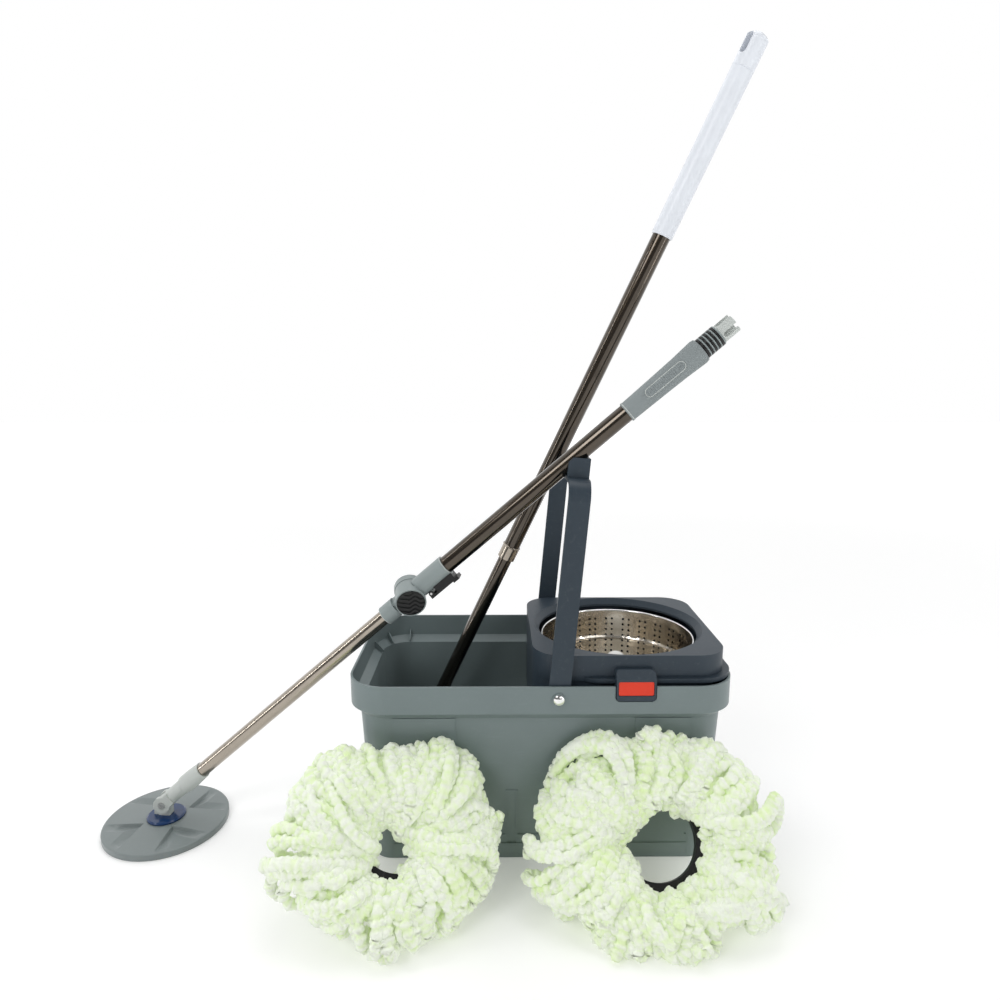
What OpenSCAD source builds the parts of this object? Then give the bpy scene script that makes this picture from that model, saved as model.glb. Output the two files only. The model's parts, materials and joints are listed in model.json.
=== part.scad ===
// Spin mop set: a bucket with a lift-out spinner, two poles leaning on the bail, and two refills.
// Origin: centre of the bucket's base on the floor. +X right, +Y back, +Z up. Millimetres.

/* [Bucket] */
// Bucket band width, left to right
band_w = 480; // [380:1:600]
// Bucket band depth, front to back
band_d = 266; // [210:1:340]
// Bucket height at the rim
rim_h = 244; // [180:1:320]
// Height of the band round the mouth
band_h = 35; // [20:1:60]
// Corner radius of the band
band_r = 50; // [40:1:58]
// Moulded wall of the tub
wall = 2.5; // [2:0.1:3.5]
// Inset of the body below the band
body_inset = 11; // [8:0.5:14]
// Draft of the body from top to floor
draft = 12; // [6:0.5:14]
// Top of the tub's floor
floor_t = 5; // [3:0.5:8]
// Depth of the shallow panels and steps
relief = 1.2; // [0.6:0.1:1.6]

/* [Bail] */
// Pivot position left or right of centre
pivot_x = 19.6; // [0:0.2:40]
// Pivot depth below the rim
pivot_drop = 16.5; // [14:0.5:18]
// Pivot centre to the top of the bar
bail_len = 266; // [250:1:290]
// Width of the bail strip
bail_w = 26; // [20:1:30]
// Thickness of the bail strip
bail_t = 5; // [4:0.1:5.5]
// Corner radius of the bail's outer edge
bail_r = 24; // [16:1:32]
// Lean of the bail to the right
bail_lean = 4.9; // [3:0.1:8]
// Radius of the pivot shaft
pivot_r = 4; // [3:0.1:5]

/* [Spinner] */
// Spinner housing width
box_w = 241; // [210:1:246]
// Spinner housing depth
box_d = 234; // [210:1:238]
// Housing height above the rim
box_rise = 33; // [20:1:50]
// Distance of the housing's left wall from the bucket's centre
box_left = 10; // [0:1:20]
// Radius of the round opening
open_r = 107; // [90:1:108]
// Depth of the bevel round the opening
bevel_h = 7.5; // [4:0.5:10]
// Basket wall thickness
basket_t = 0.8; // [0.6:0.1:1.5]
// Depth of the basket below its rim
basket_h = 96; // [70:1:120]
// Radius of the white hub
hub_r = 14; // [11:0.5:18]
// Radius of the spindle
spindle_r = 5; // [4:0.1:6]
// Latch button width
button_w = 42.4; // [30:0.2:50]
// Latch button height
button_h = 17.2; // [12:0.2:20]

/* [Poles] */
// Radius of the outer tubes
tube_r = 11.2; // [10.6:0.1:13.5]
// Radius of the thin tubes
thin_r = 9.5; // [8:0.1:10]
// Tube wall thickness
tube_t = 0.8; // [0.6:0.1:1.2]
// Length of the upper pole
upper_len = 1083; // [980:1:1200]
// Length of the lower pole beyond the bail
pole_past = 249.5; // [220:0.5:310]
// Wall of the upper grip over its tube
grip_t = 2; // [1.5:0.1:4]
// Radius of the knuckle barrel
barrel_r = 19.5; // [17:0.5:21]
// Length of the knuckle barrel
barrel_l = 36; // [32:1:42]
// Turn of the knuckle about the lower pole
knuckle_turn = 22; // [0:1:30]

/* [Mop head] */
// Radius of the disc
disc_r = 81; // [70:1:90]
// Height of the disc's edge
disc_edge = 8; // [6:0.5:10]
// Radius of the blue hub plate
plate_r = 25; // [20:0.5:30]

/* [Refills] */
// Inner radius of the refill ring
ring_in = 45; // [38:1:50]
// Outer radius of the refill ring
ring_out = 62; // [56:1:70]
// Reach of the strands from the ring's centre
strand_reach = 128; // [110:1:140]

/* [Fits] */
// Radial clearance of running fits
run = 0.05; // [0.02:0.01:0.1]
// Clearance between parts that slide past each other
gap = 0.4; // [0.3:0.05:0.8]
// Radial clearance of a pole in the bail's cradle
rest_gap = 0.35; // [0.2:0.05:0.6]
// Height of the lower pole's axis over the rim where it passes above it
pole_over = 28.6; // [24:0.1:40]

/* [Hidden] */
$fn = 96;
eps = 0.01;
body_r = band_r - body_inset;
base_r = body_r - draft;
corner_x = band_w / 2 - band_r;
corner_y = band_d / 2 - band_r;
band_z = rim_h - band_h;
ledge_h = 8.4;
ledge_z = band_z - 4.4;
pivot_z = rim_h - pivot_drop;
band_in = band_d / 2 - wall;
arm_out = band_in - 1;
arm_in = arm_out - bail_t;
wall_tilt = atan(draft / band_z);
box_x0 = -box_left;
box_x1 = box_w - box_left;
box_x = (box_x0 + box_x1) / 2;
box_top = rim_h + box_rise;
flange_y = arm_in - 1;
flange_x = band_w / 2 - 0.5;
flange_z = rim_h + 0.3;
flange_t = 5.7;
tank_z = rim_h - 79;
tank_y = 104;
tank_x0 = box_x0 + 4;
tank_x1 = corner_x + 20;
tank_floor = 12;
tank_r = 24;
skirt_x = 9;
skirt_y = 3;
skirt_r = 36;
col_r = 16;
col_h = rim_h - 96;
spindle_in = 40;
spindle_out = 60;
grip_r = tube_r + grip_t;
shell_t = 3;
rim_z = box_top - 14;
basket_r = open_r - 4;
basket_z = rim_z - basket_h;
hub_z = col_h + 0.5;
hub_top = rim_z - 27;
latch_x = 112.8;
latch_z = rim_h - 2.4;
frame_w = button_w + 5.6;
notch_w = frame_w / 2 + 1;
frame_z0 = rim_h - 18;
frame_z1 = rim_h + 18;
front_y = -band_d / 2;
frame_y = front_y - 1.5;
edge_x = pivot_x - cos(bail_lean) * bail_w / 2 + sin(bail_lean) * bail_len;
edge_z = pivot_z + sin(bail_lean) * bail_w / 2 + cos(bail_lean) * bail_len;
edge_gap = 1.5;
upper_reach = 1.106 * (tube_r + edge_gap);
foot_r = thin_r + 1.2;
foot_gap = 0.4;
foot_run = edge_x - upper_reach + corner_x + 12.5;
foot_tilt = atan2(norm([foot_run, 70.3]), edge_z - floor_t - foot_r / 2);
upper_foot = [-corner_x - 12.5, 70, floor_t + foot_gap + foot_r * sin(foot_tilt)];
upper_lean = [edge_x - upper_reach, -0.3, edge_z] - upper_foot;
upper_tilt = atan2(norm([upper_lean[0], upper_lean[1]]), upper_lean[2]);
upper_turn = atan2(upper_lean[1], upper_lean[0]);
collar_s = 394;
grip_s = upper_len - 233;
cap_s = upper_len - 40;
cradle_y = -80;
rest_rise = 1.41 * tube_r;
rest_x = edge_x + sin(bail_lean) * rest_rise;
rest_z = edge_z + cos(bail_lean) * rest_rise;
screw_z = 32.7;
pole_slope = (rest_z - rim_h - pole_over) / (rest_x + band_w / 2);
foot_x = -band_w / 2 - (rim_h + pole_over - screw_z) / pole_slope;
lower_foot = [foot_x, -34, screw_z];
lower_lean = [rest_x, cradle_y, rest_z] - lower_foot;
lower_tilt = atan2(norm([lower_lean[0], lower_lean[1]]), lower_lean[2]);
lower_turn = atan2(lower_lean[1], lower_lean[0]);
knuckle_s = 464;
collar_end = 526;
cross_s = norm(lower_lean);
lower_len = cross_s + pole_past;
handle_s = lower_len - 158;
rib_s = lower_len - 47;
spigot_s = lower_len - 22;
drum_w = 16;
axle_r = 4;
tongue_r = 12.7;
sleeve_r = tube_r + 2.2;
lever_s = 489;
lever_x = tube_r + 4;
lever_w = 18.2;
lug_w = 11;
boss_r = 3.1;
cap_r = barrel_r - 1.6;
pin_r = 1.5;
arm_y = (lever_w + lug_w) / 4 + 0.3;
arm_w = lever_w - 2 * arm_y;
grip_x = lever_x + 3.4;
ear_r = 11.5;
ear_in = 6;
ear_out = 11;
plate_z = 12;
strand_z = 2;
ring_a_at = [-169, front_y - 53, 92];
ring_a_lean = 50;
ring_a_turn = 10;
ring_b_at = [129, front_y - 57, 82];
ring_b_lean = 54;
ring_b_turn = -4;

// A rounded rectangle between x0..x1 and y0..y1
module rrect(x0, x1, y0, y1, r) {
    translate([x0 + r, y0])
        square([x1 - x0 - 2 * r, y1 - y0]);
    translate([x0, y0 + r])
        square([x1 - x0, y1 - y0 - 2 * r]);
    for (x = [x0 + r, x1 - r], y = [y0 + r, y1 - r])
        translate([x, y])
            circle(r);
}

// An upright tapered block whose corner centres stay put while the corner radius goes from ra to rb
module tapered(z0, z1, ra, rb) {
    for (x = [-corner_x, corner_x], y = [-corner_y, corner_y])
        translate([x, y, z0])
            cylinder(h = z1 - z0, r1 = ra, r2 = rb);
    translate([-corner_x, 0, 0])
        rotate([90, 0, 90])
            linear_extrude(2 * corner_x)
                polygon([
                    [-corner_y - ra, z0],
                    [corner_y + ra, z0],
                    [corner_y + rb, z1],
                    [-corner_y - rb, z1]
                ]);
    translate([0, corner_y, 0])
        rotate([90, 0, 0])
            linear_extrude(2 * corner_y)
                polygon([
                    [-corner_x - ra, z0],
                    [corner_x + ra, z0],
                    [corner_x + rb, z1],
                    [-corner_x - rb, z1]
                ]);
}

// A block on the tub's front wall, following its draft; z is measured up the wall
module on_front(x0, x1, z0, z1, out) {
    translate([0, -corner_y - base_r, 0])
        rotate([wall_tilt, 0, 0])
            translate([x0, -out, z0])
                cube([x1 - x0, out + wall / 2, z1 - z0]);
}

// The raised steps, panel edges and small mould mark of one long wall
module wall_relief() {
    on_front(3 - corner_x, corner_x - 3, 8, 23, 2 * relief);
    on_front(3 - corner_x, -42.5, 23, 35, relief);
    on_front(-31, corner_x - 3, 23, 35, relief);
    on_front(-corner_x + 6, -106, 35, band_z - 10, relief);
    on_front(116, corner_x - 6, 35, band_z - 10, relief);
    on_front(-44.5, -42.5, 35, 97, relief);
    on_front(-31, -29, 35, 97, relief);
    on_front(-44.5, -29, 97, 99, relief);
}

// A thin web that stiffens the band above the ledge
module gusset(x, y, turn) {
    translate([x, y, 0])
        rotate([90, 0, turn])
            linear_extrude(1.6, center = true)
                polygon([
                    [0, ledge_z + 2],
                    [-body_inset - wall, ledge_z + 2],
                    [-body_inset - wall, ledge_z + 4],
                    [-2, ledge_z + ledge_h + 9],
                    [0, ledge_z + ledge_h + 9]
                ]);
}

module tub() {
    inner = band_in - 0.2;
    color([0.45, 0.49, 0.5])
        difference() {
            union() {
                difference() {
                    union() {
                        tapered(band_z, rim_h, band_r, band_r);
                        tapered(band_z - 11, band_z + eps, body_r - 1, band_r - wall);
                        tapered(0, band_z, base_r, body_r);
                        wall_relief();
                        mirror([0, 1, 0])
                            wall_relief();
                        for (s = [-1, 1])
                            translate([pivot_x, s * band_d / 2, pivot_z])
                                rotate([90, 0, 0])
                                    cylinder(h = 3, r = 8.2, center = true);
                    }
                    tapered(ledge_z + ledge_h, rim_h + 1, band_r - wall, band_r - wall);
                    tapered(ledge_z, ledge_z + ledge_h + eps, body_r - wall, band_r - wall);
                    tapered(floor_t, ledge_z + eps, base_r - wall + 0.3, body_r - wall);
                }
                gusset(-corner_x, inner, 90);
                gusset(-corner_x - band_r * 0.66, corner_y + band_r * 0.66, 135);
                gusset(-band_w / 2 + wall + 0.2, corner_y - 8, 180);
                gusset(-corner_x, -inner, -90);
                gusset(-corner_x - band_r * 0.66, -corner_y - band_r * 0.66, 225);
            }
            for (s = [-1, 1])
                translate([pivot_x, s * band_d / 2, pivot_z])
                    rotate([90, 0, 0])
                        cylinder(h = 12, r = pivot_r, center = true);
            for (s = [-1, 1])
                translate([pivot_x, s * (band_d / 2 + 1.5), pivot_z])
                    rotate([90, 0, 0])
                        cylinder(h = 1.6, r = 6.7, center = true);
            translate([0, front_y + wall + 0.5, 0])
                rotate([90, 0, 0])
                    linear_extrude(wall + 3)
                        rrect(latch_x - notch_w, latch_x + notch_w, frame_z0 - 1.5, rim_h + 20, 6);
        }
}

// One pivot stud: a shaft through the band with a domed head outside and a disc inside the arm
module pivot_stud() {
    color([0.86, 0.87, 0.88]) {
        rotate([90, 0, 0]) {
            translate([0, 0, -wall - bail_t - 3])
                cylinder(h = wall + bail_t + 5, r = pivot_r);
            translate([0, 0, 0.8])
                cylinder(h = 1.2, r = 6.5);
            intersection() {
                translate([0, 0, -6.65])
                    sphere(r = 10.8);
                translate([0, 0, 2])
                    cylinder(h = 4, r = 6.5);
            }
            translate([0, 0, -wall - bail_t - 3])
                cylinder(h = 1.2, r = 6);
        }
    }
}

module pivot_front() {
    translate([pivot_x, -band_d / 2, pivot_z])
        pivot_stud();
}

module pivot_back() {
    translate([pivot_x, band_d / 2, pivot_z])
        rotate([0, 0, 180])
            pivot_stud();
}

// The lower pole's own frame: +Z runs from the yoke screw to the free end
module on_lower() {
    translate(lower_foot)
        rotate([0, lower_tilt, lower_turn])
            children();
}

module bail_handle() {
    color([0.22, 0.27, 0.32])
        difference() {
            translate([pivot_x, 0, pivot_z])
                rotate([0, bail_lean, 0])
                    union() {
                        translate([-bail_w / 2, 0, 0])
                            rotate([90, 0, 90])
                                linear_extrude(bail_w)
                                    difference() {
                                        rrect(-arm_out, arm_out, -2 * bail_r, bail_len, bail_r);
                                        rrect(-arm_in, arm_in, -3 * bail_r, bail_len - bail_t, bail_r - bail_t);
                                        translate([-band_d, -band_d])
                                            square([2 * band_d, band_d]);
                                    }
                        for (s = [-1, 1])
                            translate([0, s * (arm_in + bail_t / 2), 0])
                                rotate([90, 0, 0])
                                    cylinder(h = bail_t, r = bail_w / 2, center = true);
                        translate([-bail_w / 2, cradle_y - tube_r - 5.5, bail_len - 1])
                            cube([bail_w, 2 * tube_r + 11, 25]);
                    }
            on_lower()
                translate([0, 0, cross_s - 60])
                    cylinder(h = 120, r = tube_r + rest_gap);
            on_lower()
                translate([-60, -tube_r - 1.2, cross_s - 60])
                    cube([60, 2 * tube_r + 2.4, 120]);
            on_lower()
                translate([-60, -40, cross_s - 60])
                    cube([59, 80, 120]);
            for (s = [-1, 1])
                translate([pivot_x, s * (arm_in + bail_t / 2), pivot_z])
                    rotate([90, 0, 0])
                        cylinder(h = bail_t + 2, r = pivot_r + run, center = true);
        }
}

// A rounded rectangle centred on y = 0, drawn in from its outline by an inset
module inset_rrect(x0, x1, half_y, r, inset) {
    rrect(x0 + inset, x1 - inset, -half_y + inset, half_y - inset, r - inset);
}

module housing() {
    color([0.24, 0.29, 0.34])
        difference() {
            union() {
                translate([0, 0, tank_z])
                    linear_extrude(box_top - tank_z)
                        inset_rrect(box_x0, box_x1 - skirt_x, box_d / 2 - skirt_y, skirt_r, 0);
                translate([0, 0, flange_z])
                    linear_extrude(box_top - flange_z)
                        inset_rrect(box_x0, box_x1, box_d / 2, skirt_r + 2, 0);
                translate([0, 0, flange_z])
                    linear_extrude(flange_t)
                        rrect(box_x0 + 40, flange_x, -flange_y, flange_y, band_r - 6);
                translate([0, 0, tank_floor])
                    linear_extrude(tank_z - tank_floor + eps)
                        inset_rrect(tank_x0, tank_x1, tank_y, tank_r, 0);
            }
            translate([0, 0, tank_z + shell_t])
                linear_extrude(flange_z - tank_z + eps)
                    inset_rrect(box_x0, box_x1 - skirt_x, box_d / 2 - skirt_y, skirt_r, shell_t);
            translate([0, 0, flange_z + shell_t])
                linear_extrude(box_top - flange_z - bevel_h - 2 * shell_t)
                    inset_rrect(box_x0, box_x1, box_d / 2, skirt_r + 2, shell_t);
            translate([0, 0, tank_floor + shell_t])
                linear_extrude(tank_z - tank_floor + 1)
                    inset_rrect(tank_x0, tank_x1, tank_y, tank_r, shell_t);
            translate([box_x, 0, flange_z + shell_t])
                cylinder(h = rim_h, r = open_r);
            translate([box_x, 0, box_top - bevel_h])
                cylinder(h = bevel_h + eps, r1 = open_r, r2 = open_r + 7);
        }
    color([0.24, 0.29, 0.34])
        translate([box_x, 0, tank_floor + 1])
            difference() {
                cylinder(h = col_h - tank_floor - 1, r = col_r);
                translate([0, 0, col_h - tank_floor - 1 - spindle_in])
                    cylinder(h = spindle_in + 1, r = spindle_r);
            }
}

module spindle() {
    color([0.75, 0.76, 0.78])
        translate([box_x, 0, col_h - spindle_in])
            cylinder(h = spindle_in + spindle_out, r = spindle_r);
}

// A block with rounded corners standing on the XZ plane, from y0 towards the back
module face_block(x, z, w, h, r, y0, depth) {
    translate([x, y0 + depth, z])
        rotate([90, 0, 0])
            linear_extrude(depth)
                rrect(-w / 2, w / 2, -h / 2, h / 2, r);
}

module latch_frame() {
    mid_z = (frame_z0 + frame_z1) / 2;
    color([0.2, 0.25, 0.3])
        difference() {
            face_block(latch_x, mid_z, frame_w, frame_z1 - frame_z0, 4.5, frame_y, -frame_y - box_d / 2);
            face_block(latch_x, latch_z, button_w + 2 * gap, button_h + 2 * gap, 2 + gap, frame_y - 1, 11);
            translate([latch_x - frame_w, -flange_y, flange_z])
                cube([2 * frame_w, flange_y, flange_t]);
            translate([latch_x - frame_w, frame_y, frame_z1])
                rotate([36, 0, 0])
                    translate([0, -10, -6.5])
                        cube([2 * frame_w, 20, 20]);
        }
}

module latch_button() {
    color([0.87, 0.2, 0.05])
        face_block(latch_x, latch_z, button_w, button_h, 2, front_y - 0.8, 6.5);
}

module basket_shell() {
    color([0.78, 0.78, 0.76])
        translate([box_x, 0, basket_z])
            difference() {
                union() {
                    translate([0, 0, 6])
                        cylinder(h = basket_h - 8, r1 = basket_r - 5, r2 = basket_r);
                    cylinder(h = 6 + eps, r1 = basket_r - 11, r2 = basket_r - 5);
                }
                translate([0, 0, 6])
                    cylinder(h = basket_h, r1 = basket_r - 5 - basket_t, r2 = basket_r - basket_t + 0.1);
                translate([0, 0, basket_t])
                    cylinder(h = 6, r1 = basket_r - 11 - basket_t / 2, r2 = basket_r - 5 - basket_t / 2);
                translate([0, 0, -1])
                    cylinder(h = 4, r = hub_r - 2);
            }
}

module basket_rim() {
    color([0.9, 0.9, 0.9])
        translate([box_x, 0, rim_z - 2])
            rotate_extrude()
                translate([basket_r + 0.2, 0])
                    circle(r = 1.8);
}

module basket_hub() {
    color([0.93, 0.93, 0.91])
        translate([box_x, 0, 0])
            difference() {
                union() {
                    translate([0, 0, hub_z])
                        cylinder(h = hub_top - hub_z - 9, r = hub_r - 2);
                    translate([0, 0, basket_z + basket_t])
                        cylinder(h = 4, r = hub_r + 8);
                    translate([0, 0, basket_z + basket_t])
                        cylinder(h = hub_top - basket_z - basket_t - 9, r = hub_r);
                    intersection() {
                        translate([0, 0, hub_top - 15.4])
                            sphere(r = 15.4);
                        translate([0, 0, hub_top - 9.01])
                            cylinder(h = 12, r = hub_r);
                    }
                }
                translate([0, 0, hub_z - 1])
                    cylinder(h = col_h + spindle_out + 4 - hub_z, r = spindle_r + run);
            }
}

// The upper pole's own frame: +Z runs from the foot to the hanging end
module on_upper() {
    translate(upper_foot)
        rotate([0, upper_tilt, upper_turn])
            children();
}

// A straight tube between two stations on a pole
module tube(s0, s1, r, t) {
    translate([0, 0, s0])
        difference() {
            cylinder(h = s1 - s0, r = r);
            translate([0, 0, -1])
                cylinder(h = s1 - s0 + 2, r = r - t);
        }
}

module up_ferrule() {
    color([0.55, 0.56, 0.56])
        on_upper()
            difference() {
                cylinder(h = 24, r = foot_r);
                translate([0, 0, 4])
                    cylinder(h = 24, r = thin_r);
                translate([0, 0, -1])
                    cylinder(h = 8, r = thin_r - 3);
            }
}

module up_thin_tube() {
    color([0.2, 0.18, 0.16])
        on_upper()
            tube(4, collar_s + 270, thin_r, tube_t);
}

module up_outer_tube() {
    color([0.14, 0.13, 0.12])
        on_upper()
            tube(collar_s + 6, cap_s + 4, tube_r, tube_t);
}

module up_collar() {
    color([0.6, 0.6, 0.6])
        on_upper()
            difference() {
                union() {
                    translate([0, 0, collar_s])
                        cylinder(h = 19, r = tube_r + 0.8);
                    translate([0, 0, collar_s + 19])
                        rotate_extrude()
                            translate([tube_r + 0.2, 0])
                                circle(r = 1.2);
                }
                translate([0, 0, collar_s + 6])
                    cylinder(h = 20, r = tube_r);
                translate([0, 0, collar_s - 1])
                    cylinder(h = 8, r = thin_r + 0.3);
            }
}

module up_bush() {
    color([0.85, 0.85, 0.85])
        on_upper()
            translate([0, 0, collar_s + 6])
                difference() {
                    cylinder(h = 34, r = tube_r - tube_t);
                    translate([0, 0, -1])
                        cylinder(h = 36, r = thin_r + run);
                }
}

module up_grip() {
    color([0.9, 0.92, 0.95])
        on_upper()
            difference() {
                union() {
                    translate([0, 0, grip_s])
                        cylinder(h = 1.2, r1 = grip_r - 0.9, r2 = grip_r);
                    translate([0, 0, grip_s + 1.2])
                        cylinder(h = cap_s - grip_s - 2, r = grip_r);
                    translate([0, 0, cap_s - 0.81])
                        cylinder(h = 0.8, r1 = grip_r, r2 = grip_r - 0.5);
                }
                translate([0, 0, grip_s - 1])
                    cylinder(h = cap_s - grip_s + 2, r = tube_r);
            }
}

module up_cap() {
    color([0.93, 0.94, 0.96])
        on_upper()
            rotate([0, 0, -40])
                difference() {
                    intersection() {
                        union() {
                            translate([0, 0, cap_s])
                                cylinder(h = 0.8, r1 = grip_r - 0.5, r2 = grip_r);
                            translate([0, 0, cap_s + 0.79])
                                cylinder(h = upper_len - cap_s - 0.8, r = grip_r);
                        }
                        union() {
                            translate([0, 0, cap_s - 1])
                                cylinder(h = 30, r = grip_r + 1);
                            translate([0, 0, upper_len - grip_r - 3.8])
                                sphere(r = grip_r + 3.8);
                        }
                    }
                    translate([0, 0, cap_s - 1])
                        cylinder(h = 6, r = tube_r);
                    translate([0, 30, cap_s + 12.5])
                        rotate([90, 0, 0])
                            linear_extrude(60)
                                rrect(-4.5, 4.5, 0, 23, 4.4);
                }
}

module lp_outer_tube() {
    color([0.14, 0.13, 0.12])
        on_lower()
            tube(knuckle_s + 24, handle_s + 40, tube_r, tube_t);
}

module lp_grip() {
    len = rib_s - handle_s;
    color([0.48, 0.51, 0.52])
        on_lower()
            union() {
                translate([0, 0, handle_s])
                    rotate_extrude()
                        polygon([
                            [tube_r, 0],
                            [tube_r + 1.2, 0],
                            [tube_r + 1.6, 1],
                            [tube_r + 1.6, 3],
                            [tube_r + 1.2, 4],
                            [tube_r + 2.1, len * 0.42],
                            [tube_r + 3, len * 0.72],
                            [tube_r + 4.6, len - 4],
                            [tube_r + 3.8, len],
                            [tube_r - 1, len],
                            [tube_r - 1, 40],
                            [tube_r, 40]
                        ]);
                rotate([0, 0, -8])
                    translate([0, -tube_r - 0.8, handle_s + len * 0.52])
                        rotate([90, 0, 0])
                            linear_extrude(2.9)
                                rrect(-5.5, 5.5, -28, 28, 5.4);
            }
}

module lp_ribbed_collar() {
    color([0.2, 0.2, 0.2])
        on_lower()
            difference() {
                union() {
                    translate([0, 0, rib_s])
                        cylinder(h = spigot_s - rib_s, r = tube_r + 0.8);
                    for (k = [0:4])
                        translate([0, 0, rib_s + 1.5 + 5 * k])
                            cylinder(h = 2.4, r = tube_r + 2);
                }
                translate([0, 0, rib_s - 1])
                    cylinder(h = spigot_s - rib_s + 2, r = tube_r - 1);
            }
}

module lp_spigot() {
    color([0.82, 0.83, 0.83])
        on_lower()
            difference() {
                union() {
                    translate([0, 0, handle_s + 44])
                        cylinder(h = lower_len - handle_s - 44, r = tube_r - 1);
                    translate([0, 0, spigot_s])
                        cylinder(h = lower_len - spigot_s, r = tube_r + 0.6);
                }
                translate([0, 0, handle_s + 40])
                    cylinder(h = lower_len, r = tube_r - 4);
                for (a = [20, 110])
                    rotate([0, 0, a])
                        translate([0, 20, spigot_s + 3])
                            rotate([90, 0, 0])
                                linear_extrude(40) {
                                    translate([0, 3.5])
                                        circle(3.5);
                                    translate([-3.5, 3.5])
                                        square([7, 30]);
                                }
            }
}

// The knuckle's own frame: +Z runs along the barrel away from the button
module on_knuckle() {
    on_lower()
        rotate([0, 0, knuckle_turn])
            translate([0, 0, knuckle_s])
                rotate([-90, 0, 0])
                    children();
}

module knuckle_housing() {
    color([0.52, 0.55, 0.56]) {
        difference() {
            union() {
                on_knuckle()
                    translate([0, 0, -barrel_l / 2])
                        cylinder(h = barrel_l, r = barrel_r);
                on_lower()
                    translate([0, 0, knuckle_s + 8])
                        cylinder(h = collar_end - knuckle_s - 8, r = sleeve_r);
                on_lower()
                    translate([lever_x, 0, lever_s])
                        rotate([90, 0, 0])
                            cylinder(h = lug_w, r = boss_r, center = true);
                on_lower()
                    translate([tube_r - 3, -lug_w / 2, lever_s - boss_r])
                        cube([lever_x - tube_r + 3, lug_w, 2 * boss_r]);
            }
            on_knuckle()
                cylinder(h = drum_w + 2 * gap, r = barrel_r + 0.6, center = true);
            on_knuckle()
                cylinder(h = barrel_l + 2, r = axle_r, center = true);
            on_knuckle()
                translate([0, 0, -barrel_l / 2 - 1])
                    cylinder(h = 6, r = cap_r);
            on_lower()
                translate([0, 0, knuckle_s + 24])
                    cylinder(h = collar_end, r = tube_r);
            on_lower()
                translate([lever_x, 0, lever_s])
                    rotate([90, 0, 0])
                        cylinder(h = 20, r = pin_r, center = true);
        }
    }
}

module knuckle_axle() {
    color([0.7, 0.71, 0.72])
        on_knuckle()
            translate([0, 0, -drum_w / 2 - 4])
                cylinder(h = drum_w + 10, r = axle_r);
}

module knuckle_button() {
    color([0.05, 0.05, 0.06])
        on_knuckle()
            translate([0, 0, -barrel_l / 2 - 1.2])
                difference() {
                    cylinder(h = 3.8, r = cap_r - gap / 2);
                    for (k = [-2:2])
                        translate([6 * k - 0.6, -barrel_r, -0.1])
                            cube([1.2, 2 * barrel_r, 0.7]);
                }
}

module clamp_lever() {
    color([0.1, 0.11, 0.12])
        on_lower()
            difference() {
                union() {
                    for (s = [-1, 1])
                        translate([lever_x, s * arm_y, lever_s])
                            rotate([90, 0, 0])
                                cylinder(h = arm_w, r = boss_r, center = true);
                    for (s = [-1, 1])
                        translate([lever_x, s * arm_y - arm_w / 2, lever_s - boss_r])
                            cube([5, arm_w, 2 * boss_r]);
                    translate([grip_x, -lever_w / 2, lever_s - boss_r])
                        cube([2.6, lever_w, 41]);
                    translate([tube_r - 1.2, -lever_w / 2, lever_s + 8])
                        cube([grip_x - tube_r + 2, lever_w, 29]);
                    translate([grip_x, -lever_w / 2, lever_s + 32])
                        cube([4.6, lever_w, 9]);
                }
                translate([0, 0, lever_s - 2 * boss_r])
                    cylinder(h = 60, r = sleeve_r + gap);
                translate([lever_x, 0, lever_s])
                    rotate([90, 0, 0])
                        cylinder(h = 30, r = pin_r + run, center = true);
            }
}

module lever_pin() {
    color([0.7, 0.71, 0.72])
        on_lower()
            translate([lever_x, 0, lever_s])
                rotate([90, 0, 0])
                    cylinder(h = lever_w, r = pin_r, center = true);
}

module knuckle_tongue() {
    color([0.5, 0.53, 0.54])
        difference() {
            union() {
                on_knuckle()
                    cylinder(h = drum_w, r = barrel_r - 0.6, center = true);
                on_lower()
                    rotate([0, 0, knuckle_turn])
                        translate([-9, -drum_w / 2, knuckle_s - 30])
                            cube([18, drum_w, 26]);
                on_lower()
                    translate([0, 0, knuckle_s - 43])
                        cylinder(h = 20.5, r = tongue_r);
            }
            on_knuckle()
                cylinder(h = drum_w + 2, r = axle_r + run, center = true);
            on_lower()
                translate([0, 0, knuckle_s - 44])
                    cylinder(h = 16, r = thin_r);
        }
}

module lp_thin_tube() {
    color([0.3, 0.27, 0.25])
        on_lower()
            tube(56, knuckle_s - 28, thin_r, tube_t);
}

module lp_socket() {
    color([0.72, 0.73, 0.71])
        on_lower()
            difference() {
                union() {
                    translate([0, 0, 38.4])
                        cylinder(h = 4, r1 = 11.2, r2 = 12.4);
                    translate([0, 0, 42.39])
                        cylinder(h = 14, r = 12.4);
                    translate([0, 0, 56.38])
                        cylinder(h = 20, r1 = 12.4, r2 = 10.9);
                }
                translate([0, 0, 56])
                    cylinder(h = 22, r = thin_r);
                translate([0, 0, 37])
                    cylinder(h = 12, r = 6 + run);
            }
}

module swivel_yoke() {
    color([0.74, 0.75, 0.73])
        on_lower()
            difference() {
                union() {
                    translate([0, 0, 11.8])
                        cylinder(h = 26.2, r = 10.3);
                    translate([0, 0, 36])
                        cylinder(h = 12, r = 6);
                    for (s = [-1, 1])
                        translate([0, s * (ear_in + ear_out) / 2, 0])
                            rotate([90, 0, 0])
                                cylinder(h = ear_out - ear_in, r = ear_r, center = true);
                    for (s = [-1, 1])
                        translate([-8, s * (ear_in + ear_out) / 2 - (ear_out - ear_in) / 2, 0])
                            cube([16, ear_out - ear_in, 16]);
                }
                translate([-20, -ear_in, -20])
                    cube([40, 2 * ear_in, 32.4]);
                rotate([90, 0, 0])
                    cylinder(h = 40, r = 3, center = true);
            }
}

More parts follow.
